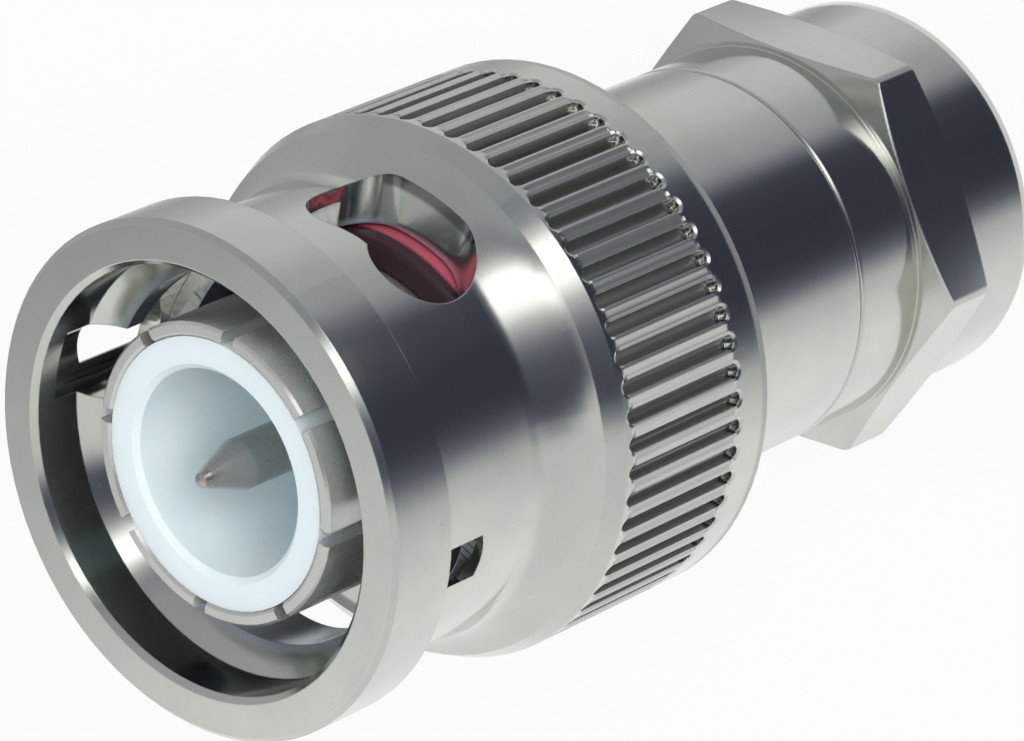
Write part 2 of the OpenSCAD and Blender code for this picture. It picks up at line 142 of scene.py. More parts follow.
def rescale(tree, value, from_low, from_high, to_low, to_high):
    """A value moved from one range to another, and held within it."""
    return add_node(tree, "ShaderNodeMapRange", {
        "Value": value, "From Min": from_low, "From Max": from_high,
        "To Min": to_low, "To Max": to_high}).outputs["Result"]


def new_group(name, takes, gives):
    """An empty node group with named number inputs, and outputs of the kinds given."""
    tree = bpy.data.node_groups.new(name, "ShaderNodeTree")
    for socket_name, default in takes.items():
        socket = tree.interface.new_socket(
            socket_name, in_out="INPUT", socket_type="NodeSocketFloat")
        socket.default_value = default
    for socket_name, kind in gives.items():
        tree.interface.new_socket(socket_name, in_out="OUTPUT", socket_type="NodeSocket" + kind)
    given = tree.nodes.new("NodeGroupInput").outputs
    return tree, given, tree.nodes.new("NodeGroupOutput").inputs


def use_group(tree, group, **inputs):
    """A node that places a group, its inputs set by name, with underscores for spaces."""
    named = {name.replace("_", " "): value for name, value in inputs.items()}
    return add_node(tree, "ShaderNodeGroup", named, node_tree=group).outputs


def axis_coordinates(tree):
    """Object coordinates in millimetres: the radius from the plug's axis, sqrt(x^2 + y^2), the
    height along it, and the point itself."""
    point = add_node(tree, "ShaderNodeTexCoord").outputs["Object"]
    scaled = add_node(tree, "ShaderNodeVectorMath", {0: point, "Scale": 1 / MM}, operation="SCALE")
    parts = add_node(tree, "ShaderNodeSeparateXYZ", {0: scaled.outputs[0]}).outputs
    square = calculate(tree, "ADD", calculate(tree, "MULTIPLY", parts[0], parts[0]),
                       calculate(tree, "MULTIPLY", parts[1], parts[1]))
    return calculate(tree, "SQRT", square), parts[2], scaled.outputs[0]


# %% [markdown]
# ## Turning marks
# A lathe leaves fine grooves that run round the axis. They are a pattern that depends only on the
# radius and the height, never on the angle: noise is looked up at (radius, height), so each mark
# closes on itself whether the surface is a cylinder, a cone or a flat face. A little noise over the
# whole surface makes some marks fade, as polishing does.

# %% Node group: turning marks


def make_turning_marks():
    """Height of lathe marks = noise of (radius, height) x a slow fade, in the range -0.5 to 0.5."""
    tree, given, result = new_group(
        "turning marks", {"Lines per mm": 14.0, "Fade": 0.5}, {"Height": "Float", "Lines": "Float"})
    radius, height, point = axis_coordinates(tree)
    across = add_node(tree, "ShaderNodeCombineXYZ", {
        0: calculate(tree, "MULTIPLY", radius, given["Lines per mm"]),
        1: calculate(tree, "MULTIPLY", height, given["Lines per mm"])}).outputs[0]
    lines = add_node(tree, "ShaderNodeTexNoise", {
        "Vector": across, "Scale": 1.0, "Detail": 2.0, "Roughness": 0.6}).outputs[0]
    patches = add_node(tree, "ShaderNodeTexNoise", {
        "Vector": point, "Scale": 0.35, "Detail": 2.0}).outputs[0]
    kept = rescale(tree, patches, 0.35, 0.65, calculate(tree, "SUBTRACT", 1.0, given["Fade"]), 1.0)
    tree.links.new(calculate(tree, "MULTIPLY", calculate(tree, "SUBTRACT", lines, 0.5), kept),
                   result["Height"])
    tree.links.new(lines, result["Lines"])
    return tree


turning_marks = make_turning_marks()

# %% [markdown]
# ## Handling marks
# Plated brass that has been handled is not evenly bright: there are faint cloudy patches where the
# plate is duller, small specks, and short scratches in every direction. Clouds are low-frequency
# noise, specks are the small cells of a Voronoi pattern that a threshold leaves, and scratches are
# noise stretched ten times along one direction.

# %% Node group: handling marks


def make_handling_marks():
    """Clouds, specks and scratches as masks from 0 to 1, each from noise at its own scale."""
    tree, given, result = new_group(
        "handling marks", {"Cloud size": 3.0, "Speck share": 0.1},
        {"Clouds": "Float", "Specks": "Float", "Scratches": "Float"})
    point = axis_coordinates(tree)[2]
    clouds = add_node(tree, "ShaderNodeTexNoise", {
        "Vector": point, "Scale": calculate(tree, "DIVIDE", 1.0, given["Cloud size"]),
        "Detail": 4.0, "Roughness": 0.65}).outputs[0]
    cells = add_node(tree, "ShaderNodeTexVoronoi", {"Vector": point, "Scale": 3.2}).outputs[0]
    specks = rescale(tree, cells, 0.0, given["Speck share"], 1.0, 0.0)
    slanted = add_node(tree, "ShaderNodeMapping", {
        "Vector": point, "Rotation": (0.4, 0.9, 0.3), "Scale": (1.0, 10.0, 10.0)}).outputs[0]
    streaks = add_node(tree, "ShaderNodeTexNoise", {
        "Vector": slanted, "Scale": 0.9, "Detail": 3.0, "Roughness": 0.7}).outputs[0]
    tree.links.new(rescale(tree, clouds, 0.35, 0.7, 0.0, 1.0), result["Clouds"])
    tree.links.new(specks, result["Specks"])
    tree.links.new(rescale(tree, streaks, 0.62, 0.72, 0.0, 1.0), result["Scratches"])
    return tree


handling_marks = make_handling_marks()

# %% [markdown]
# ## Worn edges
# Plate is thinnest and most polished on edges, where it rubs, and a real edge is never quite sharp.
# The Bevel node gives the normal that a rounded edge would have. Where it differs from the true
# normal there is an edge, so one minus their dot product is a mask of edges.

# %% Node group: worn edges


def make_worn_edges():
    """Mask = (1 - rounded normal . true normal) x gain, and the rounded normal itself."""
    tree, given, result = new_group(
        "worn edges", {"Radius": 0.06 * MM, "Gain": 8.0}, {"Edges": "Float", "Normal": "Vector"})
    rounded = add_node(tree, "ShaderNodeBevel", {"Radius": given["Radius"]}, samples=4).outputs[0]
    true_normal = add_node(tree, "ShaderNodeNewGeometry").outputs["Normal"]
    same = add_node(tree, "ShaderNodeVectorMath", {0: rounded, 1: true_normal},
                    operation="DOT_PRODUCT").outputs["Value"]
    differ = calculate(tree, "SUBTRACT", 1.0, same)
    mask = add_node(tree, "ShaderNodeClamp", {
        "Value": calculate(tree, "MULTIPLY", differ, given["Gain"])}).outputs[0]
    tree.links.new(mask, result["Edges"])
    tree.links.new(rounded, result["Normal"])
    return tree


worn_edges = make_worn_edges()

# %% [markdown]
# ## The knurled band
# Sixty ridges run round the coupling sleeve, one every six degrees, and fingers turn the sleeve by
# them. A ridge is crowned, so it catches light on its flanks even where the band faces dark
# things. The crown is a cosine of the angle, used as bump height. The groove floors are painted
# darker as shade, and the ridges and the rim behind them are rubbed satin. Two more masks pick out
# the sleeve's bore, painted a bluish tone that stands in for light reflected inside the mouth, and
# the outer part of the windows' milled rear wall, painted dark as shade.

# %% Node group: knurl wear and painted shade
RIDGES, GROOVE_FLOOR, RIDGE_TOP = 60, 6.97, 7.25
BAND_FRONT, BAND_REAR, RIM_FRONT = 8.2, 12.3, 13.2
# Radii and depth that place the bore's painted bluish tone and the painted shade on the windows'
# rear wall.
BORE_RADIUS, WALL_MIDDLE, WALL_FRONT = 5.0, 5.98, 4.0
RIM_SATIN = 1.8


def make_knurl_wear_and_shade():
    """In the band, Crown = cos(ridges x angle), 1 on a ridge and -1 in a groove, and the
    groove-floor mask of painted shade is 1 on the groove floors and falls to 0 half-way up. Satin
    is 1 on the band and more on the rim behind it. Bore is 1 inside the sleeve, where a bluish tone
    is painted as reflected light, and Wall, a mask of painted shade, on the outer part of the
    windows' rear wall."""
    tree, given, result = new_group(
        "knurl wear and painted shade", {"Fade": 0.15},
        dict.fromkeys(("Crown", "Groove shade", "Satin", "Bore", "Wall"), "Float"))
    radius, height, point = axis_coordinates(tree)
    parts = add_node(tree, "ShaderNodeSeparateXYZ", {0: point}).outputs
    angle = calculate(tree, "ARCTAN2", parts[1], parts[0])
    ridges = calculate(tree, "COSINE", calculate(tree, "MULTIPLY", angle, float(RIDGES)))
    depth = calculate(tree, "SUBTRACT", LENGTH, height)
    from_end = calculate(tree, "MINIMUM", calculate(tree, "SUBTRACT", depth, BAND_FRONT),
                         calculate(tree, "SUBTRACT", BAND_REAR, depth))
    in_band = rescale(tree, from_end, 0.0, given["Fade"], 0.0, 1.0)
    outside = rescale(tree, radius, GROOVE_FLOOR - 0.1, GROOVE_FLOOR - 0.05, 0.0, 1.0)
    in_band = calculate(tree, "MULTIPLY", in_band, outside)
    # Painted shade: 1 on the groove floors, falling to 0 half-way up the ridges.
    low = rescale(tree, radius, GROOVE_FLOOR + 0.03, RIDGE_TOP - 0.08, 1.0, 0.0)
    behind = rescale(tree, depth, RIM_FRONT, RIM_FRONT + 0.1, 0.0, RIM_SATIN)
    rim = calculate(tree, "MULTIPLY", outside, behind)
    tree.links.new(calculate(tree, "MULTIPLY", ridges, in_band), result["Crown"])
    tree.links.new(calculate(tree, "MULTIPLY", low, in_band), result["Groove shade"])
    tree.links.new(calculate(tree, "MAXIMUM", in_band, rim), result["Satin"])
    # Painted bluish tone inside the bore, standing in for light reflected there.
    tree.links.new(rescale(tree, radius, BORE_RADIUS, BORE_RADIUS + 0.15, 1.0, 0.0), result["Bore"])
    # Painted shade on the outer part of the windows' rear wall, the part that faces the front.
    normal = add_node(tree, "ShaderNodeNewGeometry").outputs["True Normal"]
    forward = add_node(tree, "ShaderNodeSeparateXYZ", {0: normal}).outputs[2]
    on_wall = calculate(tree, "MULTIPLY", rescale(tree, forward, 0.9, 0.93, 0.0, 1.0),
                        rescale(tree, depth, WALL_FRONT, WALL_FRONT + 0.1, 0.0, 1.0))
    outer_part = rescale(tree, radius, WALL_MIDDLE, WALL_MIDDLE + 0.12, 0.0, 1.0)
    tree.links.new(calculate(tree, "MULTIPLY", on_wall, outer_part), result["Wall"])
    return tree


knurl_wear_and_shade = make_knurl_wear_and_shade()

# %% [markdown]
# ## Nickel plate
# Most of the plug is brass under bright nickel, a metal a little warmer than chrome. It is a
# Principled shader with Metallic 1, whose colour is what the metal reflects straight on; a dull
# film on the contact, in the bore and on the ridges takes a little off that. The turning marks bend
# the reflections, the clouds make them softer in places, and the edges are brighter. Each part of
# the plug gets its own amounts, since some were polished and some only turned.

# %% Nickel materials


def shader(name, **sockets):
    """A new material with one Principled shader, whose constants are set on its own sockets."""
    material = bpy.data.materials.new(name)
    material.use_nodes = True
    tree = material.node_tree
    principled = tree.nodes["Principled BSDF"]
    for socket, value in sockets.items():
        principled.inputs[socket.replace("_", " ")].default_value = value
    return material, tree, principled.inputs


WORN_EDGE = (0.80, 0.81, 0.77, 1)
SPECK_AMOUNT, SPECK_TONE, EDGE_AMOUNT = 0.35, 0.6, 0.5
SCRATCH_SPREAD, SATIN_SPREAD, BORE_SPREAD = 0.08, 0.20, 0.06
SATIN_METAL_LOSS, BORE_METAL_LOSS = 0.10, 0.16
# Amount and colour for each mask: the groove floors and the windows' wall are painted shade, the
# bore is a bluish tone painted as reflected light, and the satin band and rim are a dull film.
FILMS_AND_PAINTED_LIGHT = {"Groove shade": (0.6, (0.15, 0.15, 0.14, 1)), "Wall": (0.8, (0.15, 0.15, 0.16, 1)),
         "Bore": (0.9, (0.55, 0.61, 0.72, 1)), "Satin": (0.15, (0.30, 0.31, 0.30, 1))}
CROWN_HEIGHT = 0.065


def plated(name, bright, dull, smooth, rough, lines_per_mm, mark_height, edge_radius=0.05,
           metallic=1.0, knurled=False):
    """Plated metal: colour from bright to dull, roughness from smooth to rough, marks as bump.
    The knurled sleeve also has films, painted shade and a bluish bore tone painted as reflected
    light, each mixed over the colour by an amount x its mask."""
    material, tree, principled = shader(name, Metallic=metallic, IOR=1.8)
    marks = use_group(tree, turning_marks, Lines_per_mm=lines_per_mm, Fade=0.6)
    wear = use_group(tree, handling_marks, Cloud_size=4.0, Speck_share=0.12)
    edges = use_group(tree, worn_edges, Radius=edge_radius * MM, Gain=6.0)
    clouded = blend_colours(tree, wear["Clouds"], (*bright, 1), (*dull, 1))
    specked = blend_colours(tree, calculate(tree, "MULTIPLY", wear["Specks"], SPECK_AMOUNT),
                            clouded, (*[SPECK_TONE * c for c in dull], 1))
    colour = blend_colours(tree, calculate(tree, "MULTIPLY", edges["Edges"], EDGE_AMOUNT),
                           specked, WORN_EDGE)
    uneven = calculate(tree, "MULTIPLY_ADD", wear["Clouds"], 0.6,
                       calculate(tree, "MULTIPLY", marks["Lines"], 0.4))
    spread = rescale(tree, uneven, 0.1, 0.8, smooth, rough)
    roughness = calculate(tree, "MULTIPLY_ADD", wear["Scratches"], SCRATCH_SPREAD, spread)
    relief = calculate(tree, "MULTIPLY", marks["Height"], mark_height)
    if knurled:
        band = use_group(tree, knurl_wear_and_shade, Fade=0.15)
        # Films, painted shade and the bore's painted tone, each mixed over the colour.
        for mask, (amount, film_or_painted_tone) in FILMS_AND_PAINTED_LIGHT.items():
            share = calculate(tree, "MULTIPLY", band[mask], amount)
            colour = blend_colours(tree, share, colour, film_or_painted_tone)
        roughness = calculate(tree, "MULTIPLY_ADD", band["Satin"], SATIN_SPREAD, roughness)
        roughness = calculate(tree, "MULTIPLY_ADD", band["Bore"], BORE_SPREAD, roughness)
        bare = calculate(tree, "MULTIPLY_ADD", band["Satin"], -SATIN_METAL_LOSS, 1.0)
        bare = calculate(tree, "MULTIPLY_ADD", band["Bore"], -BORE_METAL_LOSS, bare)
        tree.links.new(bare, principled["Metallic"])
        relief = calculate(tree, "MULTIPLY_ADD", band["Crown"], CROWN_HEIGHT, relief)
    bump = add_node(tree, "ShaderNodeBump", {
        "Strength": 1.0, "Distance": MM, "Height": relief, "Normal": edges["Normal"]})
    tree.links.new(colour, principled["Base Color"])
    tree.links.new(roughness, principled["Roughness"])
    tree.links.new(bump.outputs[0], principled["Normal"])
    return material


finishes = {
    "nickel_sleeve": plated("polished nickel", (0.63, 0.65, 0.60), (0.56, 0.58, 0.54),
                            0.09, 0.17, 12.0, 0.0007, knurled=True),
    "nickel_body": plated("turned nickel", (0.63, 0.65, 0.60), (0.57, 0.59, 0.55),
                          0.09, 0.16, 14.0, 0.0006),
    "nickel_nut": plated("turned nickel of the nut", (0.63, 0.65, 0.60), (0.56, 0.58, 0.54),
                         0.10, 0.18, 14.0, 0.0007),
    "nickel_contact": plated("nickel of the contact", (0.66, 0.665, 0.63), (0.58, 0.585, 0.55),
                             0.20, 0.32, 16.0, 0.0008, 0.03, metallic=0.74),
    "dull_nickel": plated("plain nickel", (0.56, 0.57, 0.54), (0.46, 0.47, 0.45),
                          0.24, 0.38, 8.0, 0.0020, 0.03),
    "spring_steel": plated("spring steel", (0.56, 0.57, 0.59), (0.42, 0.43, 0.45),
                           0.18, 0.32, 20.0, 0.0012, 0.02),
    "pin_plating": plated("plating of the pin", (0.52, 0.47, 0.44), (0.42, 0.38, 0.36),
                          0.20, 0.34, 18.0, 0.0012, 0.03),
}
print("metals:", ", ".join(finishes))

# %% [markdown]
# ## White insulator
# The insulators are turned from PTFE, a waxy white plastic. Light goes a short way into it, so it
# looks soft and bright in its own shadow, which subsurface scattering gives. The lathe leaves faint
# rings in it too, and dust sticks in them.

# %% PTFE material
PTFE_CLEAN, PTFE_CLOUDED = (0.84, 0.945, 0.975, 1), (0.79, 0.90, 0.945, 1)
PTFE_DUST, DUST_IN_RINGS = (0.66, 0.78, 0.82, 1), 0.12
RING_DEPTH = 0.003


def make_ptfe():
    """White plastic: a faint blue-white that changes slowly, dust in the rings as an amount x
    their height, and soft scattering."""
    material, tree, principled = shader(
        "white PTFE", Subsurface_Weight=0.35, Subsurface_Scale=0.6 * MM, IOR=1.38,
        Coat_Weight=0.15, Coat_Roughness=0.3)
    principled["Subsurface Radius"].default_value = (0.9, 0.95, 1.0)
    marks = use_group(tree, turning_marks, Lines_per_mm=10.0, Fade=0.4)
    wear = use_group(tree, handling_marks, Cloud_size=2.0, Speck_share=0.05)
    cloud = blend_colours(tree, wear["Clouds"], PTFE_CLEAN, PTFE_CLOUDED)
    ringed = blend_colours(tree, calculate(tree, "MULTIPLY", marks["Lines"], DUST_IN_RINGS),
                           cloud, PTFE_DUST)
    tree.links.new(ringed, principled["Base Color"])
    tree.links.new(rescale(tree, marks["Lines"], 0.3, 0.7, 0.34, 0.46), principled["Roughness"])
    bump = add_node(tree, "ShaderNodeBump", {
        "Strength": 1.0, "Distance": RING_DEPTH * MM, "Height": marks["Height"]})
    tree.links.new(bump.outputs[0], principled["Normal"])
    return material


finishes["white_ptfe"] = make_ptfe()

# %% [markdown]
# ## Rubbers
# The mating gasket is soft red silicone and the cable gasket is black rubber. Both are moulded, so
# their grain is fine and even in all directions, and dust makes the raised places paler. Silicone
# has a wet-looking sheen and lets some light in, and black rubber is matt. The red gasket's front,
# deep in the mouth, is painted nearly black as shade; the black rubber's front keeps its own
# colour.

# %% Rubber materials
DUST_SHARE, GRAIN_DEPTH = 0.25, 0.008
# Painted shade on a rubber's front: the depth where it ends, the width of its soft uneven edge, and
# the share of the unshaded colour left at the front.
UNSHADED_FROM, SHADE_FADE, UNSHADED_AT_FRONT = 6.56, 0.12, 0.04


def rubber(name, colour, dusty, front, smooth, rough, scattering):
    """Moulded rubber: fine even grain as bump, dust that lightens patches of it, and painted shade
    on its front, a darker colour down to the depth where the shade ends. The grain makes that
    border
    uneven: depth = length + fade x grain - height."""
    material, tree, principled = shader(
        name, IOR=1.45, Subsurface_Weight=scattering, Subsurface_Scale=0.3 * MM)
    radius, height, point = axis_coordinates(tree)
    grain = add_node(tree, "ShaderNodeTexNoise", {
        "Vector": point, "Scale": 18.0, "Detail": 3.0}).outputs[0]
    wear = use_group(tree, handling_marks, Cloud_size=1.5, Speck_share=0.1)
    dust = calculate(tree, "MULTIPLY", wear["Clouds"], DUST_SHARE)
    dusted = blend_colours(tree, dust, (*colour, 1), (*dusty, 1))
    # Painted shade: the dark front colour covers the front down to an uneven depth, and deeper down
    # the dusted colour stays.
    uneven_end = calculate(tree, "MULTIPLY_ADD", grain, SHADE_FADE, LENGTH)
    uneven_depth = calculate(tree, "SUBTRACT", uneven_end, height)
    unshaded = rescale(tree, uneven_depth, UNSHADED_FROM, UNSHADED_FROM + SHADE_FADE, UNSHADED_AT_FRONT, 1.0)
    worn = blend_colours(tree, unshaded, (*front, 1), dusted)
    tree.links.new(worn, principled["Base Color"])
    tree.links.new(rescale(tree, grain, 0.3, 0.7, smooth, rough), principled["Roughness"])
    bump = add_node(tree, "ShaderNodeBump", {
        "Strength": 1.0, "Distance": GRAIN_DEPTH * MM, "Height": grain})
    tree.links.new(bump.outputs[0], principled["Normal"])
    return material


# The third colour is the painted shade on the front; the black rubber's is its own colour.
finishes["red_silicone"] = rubber("red silicone", (0.56, 0.10, 0.14), (0.52, 0.18, 0.22),
                                  (0.020, 0.014, 0.020), 0.34, 0.48, 0.1)
finishes["black_rubber"] = rubber("black rubber", (0.022, 0.022, 0.024), (0.09, 0.088, 0.085),
                                  (0.022, 0.022, 0.024), 0.55, 0.72, 0.0)

# %% [markdown]
# ## Surfaces worked out as a grid
# The nut, the body and the gasket are turned or moulded, so each is an outline carried round the
# axis. The outline is a list of corners as a machinist would dimension them, each a radius and a
# depth behind the mating face. Real edges are broken, so every corner is eased into a short curve.
# Once the outline is a row of points, the whole surface is two arrays, the radius and the height of
# every grid point, and a thread or a hexagon is only a change to the array of radii.

# %% Outline helpers
CURVE_POINTS, GUARD = 6, 0.3
CLOSE = 0.01


def unit(vectors):
    """Each row of an array divided by its own length."""
    return vectors / np.linalg.norm(vectors, axis=1, keepdims=True)


def eased_outline(corners):
    """Closed outline from corners (radius, depth, cut). Each corner becomes a parabola that leaves
    one edge a cut before the corner and joins the next a cut after it:
    point = (1 - t)^2 leave + 2 t (1 - t) corner + t^2 join. A guard point on each side of it keeps
    the faces beside the curve flat when the surface is shaded smooth."""
    corners = np.array(corners)
    places, cuts = corners[:, :2], corners[:, 2:]
    back_edge = unit(np.roll(places, 1, axis=0) - places)
    next_edge = unit(np.roll(places, -1, axis=0) - places)
    leave, join = places + cuts * back_edge, places + cuts * next_edge
    t = np.linspace(0, 1, CURVE_POINTS)[:, None, None]
    curve = (1 - t) ** 2 * leave + 2 * t * (1 - t) * places + t ** 2 * join
    ends = [leave + GUARD * cuts * back_edge], [join + GUARD * cuts * next_edge]
    return np.concatenate([ends[0], curve, ends[1]]).transpose(1, 0, 2).reshape(-1, 2)


def refined(outline, longest):
    """The outline with points added along each edge, so that no step is longer than its limit."""
    edges = np.roll(outline, -1, axis=0) - outline
    counts = np.ceil(np.linalg.norm(edges, axis=1) / longest + 1e-9).astype(int)
    start = np.repeat(np.arange(len(outline)), counts)
    step = np.arange(counts.sum()) - np.repeat(np.cumsum(counts) - counts, counts)
    return outline[start] + (step / counts[start])[:, None] * edges[start]


def angles_round(columns):
    """The angles of that many columns, spaced evenly round the axis."""
    return np.linspace(0, 2 * np.pi, columns + 1)[:-1]


def closed_surface(name, radius, height, angles):
    """Mesh of a ring whose grid closes on itself both ways. Grid point (i, j) stands at
    (radius cos angle, radius sin angle, height), and each cell of the grid is one face."""
    rows, columns = radius.shape
    points = np.stack([radius * np.cos(angles), radius * np.sin(angles),
                       np.broadcast_to(height, radius.shape)], axis=-1) * MM
    i, j = np.indices((rows, columns))
    below, beside = (i + 1) % rows * columns, (j + 1) % columns
    faces = np.stack([i * columns + j, i * columns + beside, below + beside, below + j], axis=-1)
    mesh = bpy.data.meshes.new(name)
    mesh.vertices.add(rows * columns)
    mesh.vertices.foreach_set("co", points.ravel())
    mesh.loops.add(faces.size)
    mesh.loops.foreach_set("vertex_index", faces.ravel())
    mesh.polygons.add(rows * columns)
    mesh.polygons.foreach_set("loop_start", np.arange(0, faces.size, 4))
    mesh.polygons.foreach_set("use_smooth", np.ones(rows * columns, dtype=bool))
    mesh.update(calc_edges=True)
    piece = bpy.data.objects.new(name, mesh)
    bpy.context.scene.collection.objects.link(piece)
    print(name, "has", 2 * rows * columns, "triangles")
    return piece


# %% [markdown]
# ## The thread that joins nut and body
# The nut's nose screws into the rear of the body with a fine thread, 0.75 mm from crest to crest.
# The solids leave it out and have plain cylinders at its mean radius. Here the radius rises and
# falls with height and angle together, which makes a helix: a crest lies where height / pitch -
# angle / (one turn) is a whole number. Nut and body use the same rule, so the crests of one run in
# the roots of the other, and they still do when the nut is unscrewed, because it moves one pitch
# for each turn.

# %% Thread
PITCH = 0.75
THREAD_RISE, THREAD_FLATNESS = 0.17, 1.3


def thread_wave(height, angles, start, end):
    """Thread from -1 at the root to 1 at the crest: flatness x cosine of the phase, cut off at
    crest and root. It fades to the root over a third of a pitch at both ends of its length."""
    phase = 2 * np.pi * height / PITCH - angles
    wave = np.clip(THREAD_FLATNESS * np.cos(phase), -1, 1)
    inside = np.clip(np.minimum(height - start, end - height) / (PITCH / 3), 0, 1)
    return (wave + 1) * inside ** 2 * (3 - 2 * inside) - 1


# %% [markdown]
# ## Clamp nut
# The nut is turned from hexagon bar. In front of the hexagon is a collar as wide as the body,
# behind it one a little wider than the body, and the cable bore runs through it. The hexagon is
# what is left of a turned shape when six flats are milled on it, so its radius is the smaller of
# two: the turned outline, and the distance to the nearest flat, which is the flat's distance /
# cos(angle from its middle). The chamfered corners then come out as the curved edges that a lathe
# leaves on bar. Columns of the grid crowd towards the corners, where that distance changes most.

# %% Clamp nut
NUT_NOSE, NUT_NOSE_FRONT, NUT_COLLAR_FRONT = 4.50, 16.85, 19.78
HEX_FRONT, HEX_REAR, HEX_FLAT, HEX_CORNER, HEX_CHAMFER = 22.13, 24.23, 5.50, 6.30, 0.32
BODY_RADIUS, REAR_COLLAR, CABLE_RADIUS = 5.30, 5.35, 2.75
THREAD_STEP, CHAMFER_STEP, LONG_STEP = 0.03, 0.035, 2.5
NOSE_WALL, SECTOR_COLUMNS, CROWDING = 0.25, 48, 0.8

nut_outline = eased_outline([
    (CABLE_RADIUS, LENGTH, 0.15), (REAR_COLLAR, LENGTH, 0.22),
    (REAR_COLLAR, HEX_REAR, 0.03), (HEX_FLAT - 0.05, HEX_REAR, 0.02),
    (HEX_CORNER, HEX_REAR - HEX_CHAMFER, 0.05), (HEX_CORNER, HEX_FRONT + HEX_CHAMFER, 0.05),
    (HEX_FLAT - 0.05, HEX_FRONT, 0.02), (BODY_RADIUS, HEX_FRONT, 0.04),
    (BODY_RADIUS, NUT_COLLAR_FRONT, 0.11), (NUT_NOSE, NUT_COLLAR_FRONT, 0.02),
    (NUT_NOSE, NUT_NOSE_FRONT, 0.20), (CABLE_RADIUS, NUT_NOSE_FRONT, 0.10)])
on_nose = np.abs(nut_outline[:, 0] - NUT_NOSE) < CLOSE
on_chamfer = nut_outline[:, 0] > HEX_FLAT - 0.1
steps = np.select([on_nose, on_chamfer], [THREAD_STEP, CHAMFER_STEP], LONG_STEP)
nut_outline = refined(nut_outline, steps)

in_sector = np.linspace(0, 1, SECTOR_COLUMNS + 1)[:-1]
sector = 60 * (in_sector - CROWDING * np.sin(2 * np.pi * in_sector) / (2 * np.pi))
nut_angles = np.radians((np.arange(6)[:, None] * 60 + sector).ravel())
nut_height = LENGTH - nut_outline[:, 1:]
nut_radius = np.repeat(nut_outline[:, :1], len(nut_angles), axis=1)
to_flat = HEX_FLAT / np.cos(nut_angles % (np.pi / 3) - np.pi / 6)
on_hexagon = nut_radius > REAR_COLLAR + CLOSE
nut_radius = np.where(on_hexagon, np.minimum(nut_radius, to_flat), nut_radius)
nose_share = np.clip((nut_radius - NUT_NOSE + NOSE_WALL) / NOSE_WALL, 0, 1)
wave = thread_wave(nut_height, nut_angles, LENGTH - NUT_COLLAR_FRONT, LENGTH - NUT_NOSE_FRONT)
threaded = (nut_height > LENGTH - NUT_COLLAR_FRONT) & (nut_radius <= NUT_NOSE)
nut_radius = nut_radius + np.where(threaded, THREAD_RISE * nose_share * wave, 0)
clamp_nut = closed_surface("threaded_nut", nut_radius, nut_height, nut_angles)
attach(clamp_nut, "nut")
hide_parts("clamp_nut")
clamp_nut.data.materials.append(finishes["nickel_nut"])
print("nut is", round(2 * nut_radius.max(), 2), "mm across its corners")

# %% [markdown]
# ## Plug body
# The body is a turned tube: a flange that the coupling sleeve springs against, a long plain shank,
# and inside its rear end the thread for the nut. The bore steps down in front of the thread, where
# the insulators and the slotted contact sit. All of its rows are circles except inside the thread.

# %% Plug body
FLANGE_RADIUS, FLANGE_FRONT, FLANGE_REAR, JOINT = 6.10, 7.38, 9.58, 19.75
THREAD_BORE, THREAD_FRONT, STACK_BORE = 4.55, 16.79, 4.12
CONTACT_REAR, SHANK_BORE, SHANK_FRONT, SEAT_BORE = 9.80, 4.09, 7.88, 3.94

body_outline = eased_outline([
    (BODY_RADIUS, JOINT, 0.11), (BODY_RADIUS, FLANGE_REAR, 0.08),
    (FLANGE_RADIUS, FLANGE_REAR, 0.10), (FLANGE_RADIUS, FLANGE_FRONT, 0.10),
    (SEAT_BORE, FLANGE_FRONT, 0.04), (SEAT_BORE, SHANK_FRONT, 0.03),
    (SHANK_BORE, SHANK_FRONT, 0.03), (SHANK_BORE, CONTACT_REAR, 0.01),
    (STACK_BORE, CONTACT_REAR, 0.01), (STACK_BORE, THREAD_FRONT, 0.03),
    (THREAD_BORE, THREAD_FRONT, 0.03), (THREAD_BORE, JOINT, 0.12)])
in_thread = np.abs(body_outline[:, 0] - THREAD_BORE) < CLOSE
body_outline = refined(body_outline, np.where(in_thread, THREAD_STEP, LONG_STEP))

body_angles = angles_round(288)
body_height = LENGTH - body_outline[:, 1:]
body_radius = np.repeat(body_outline[:, :1], len(body_angles), axis=1)
wave = thread_wave(body_height, body_angles + np.pi, LENGTH - JOINT, LENGTH - THREAD_FRONT)
threaded = (body_height < LENGTH - THREAD_FRONT) & (np.abs(body_radius - THREAD_BORE) < CLOSE)
body_radius = body_radius - np.where(threaded, THREAD_RISE * wave, 0)
plug_body = closed_surface("threaded_body", body_radius, body_height, body_angles)
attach(plug_body, "plug")
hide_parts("plug_body")
plug_body.data.materials.append(finishes["nickel_body"])

# %% [markdown]
# ## Mating gasket
# The red ring at the bottom of the mouth is moulded silicone. A moulding has no sharp edges, and
# this one is squeezed against the flange, so its outer wall bows out a little at mid height: the
# radius gains a bulge x sin(pi x share of the height). The contact holds its inner wall straight.

# %% Mating gasket
GASKET_INNER, GASKET_OUTER, GASKET_FRONT, GASKET_REAR = 3.96, 4.80, 6.21, 7.37
GASKET_BULGE, GASKET_STEP = 0.02, 0.08

